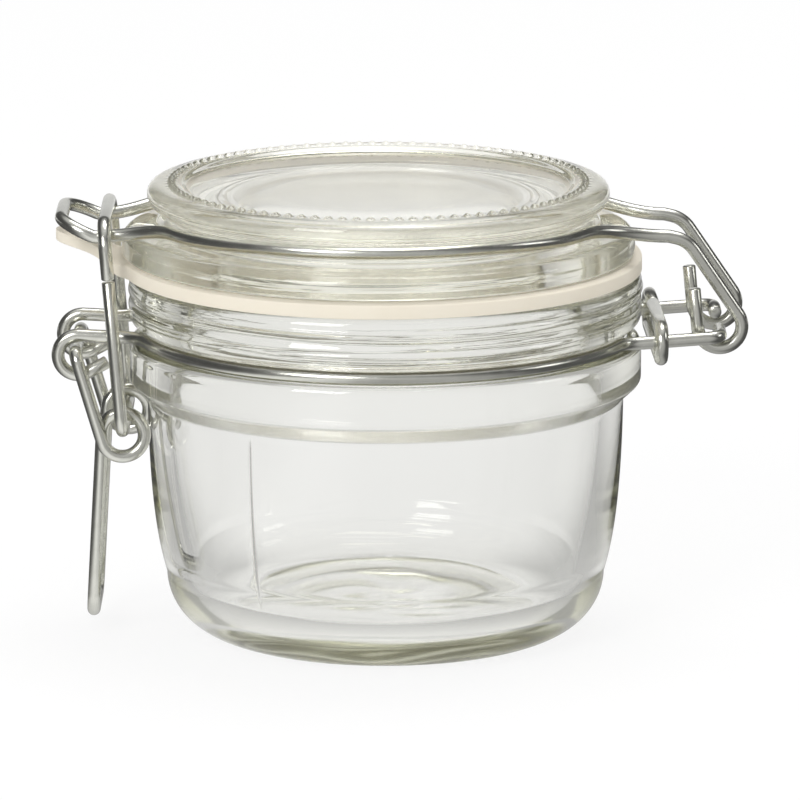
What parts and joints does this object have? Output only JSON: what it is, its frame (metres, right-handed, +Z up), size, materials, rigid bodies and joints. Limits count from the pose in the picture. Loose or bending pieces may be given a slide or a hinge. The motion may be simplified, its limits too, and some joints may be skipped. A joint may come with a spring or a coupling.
{
  "type": "clamp lid jar",
  "caption": "Small clear glass jar with a hinged glass lid, a rubber sealing ring and a wire bail whose over-centre lever and link clamp the lid shut.",
  "frame": {"origin": "centre of the jar's flat standing face", "axes": "+Z up along the jar's axis, +X from the latch towards the lid hinge, +Y across the bail, along every hinge axis"},
  "size_m": [0.0947, 0.0712, 0.0624],
  "materials": {
    "glass": "clear pressed glass, polished",
    "rubber": "natural cream rubber, satin",
    "wire": "bright zinc-plated drawn wire"
  },
  "bodies": {
    "jar": {"glass_jar": "glass", "neck_wire_near": "wire", "neck_wire_far": "wire", "rear_tie_ring": "wire"},
    "lid": {"glass_lid": "glass", "rubber_ring": "rubber", "lid_wire": "wire"},
    "lever": {"closing_lever": "wire"},
    "link": {"tension_link": "wire"}
  },
  "joints": [
    {"name": "lid_hinge", "type": "hinge", "parent": "jar", "child": "lid", "pos_m": [0.0455, 0, 0.0429], "axis": [0, 1, 0], "range_deg": [0, 180]},
    {"name": "lever_swing", "type": "hinge", "parent": "jar", "child": "lever", "pos_m": [-0.04219, 0, 0.04015], "axis": [0, 1, 0], "range_deg": [0, 150]},
    {"name": "link_swing", "type": "hinge", "parent": "lever", "child": "link", "pos_m": [-0.03579, 0, 0.0295], "axis": [0, 1, 0], "range_deg": [-97.5, 0]}
  ],
  "couplings": [
    {"joint": "link_swing", "follows": "lever_swing", "ratio": -0.65}
  ]
}
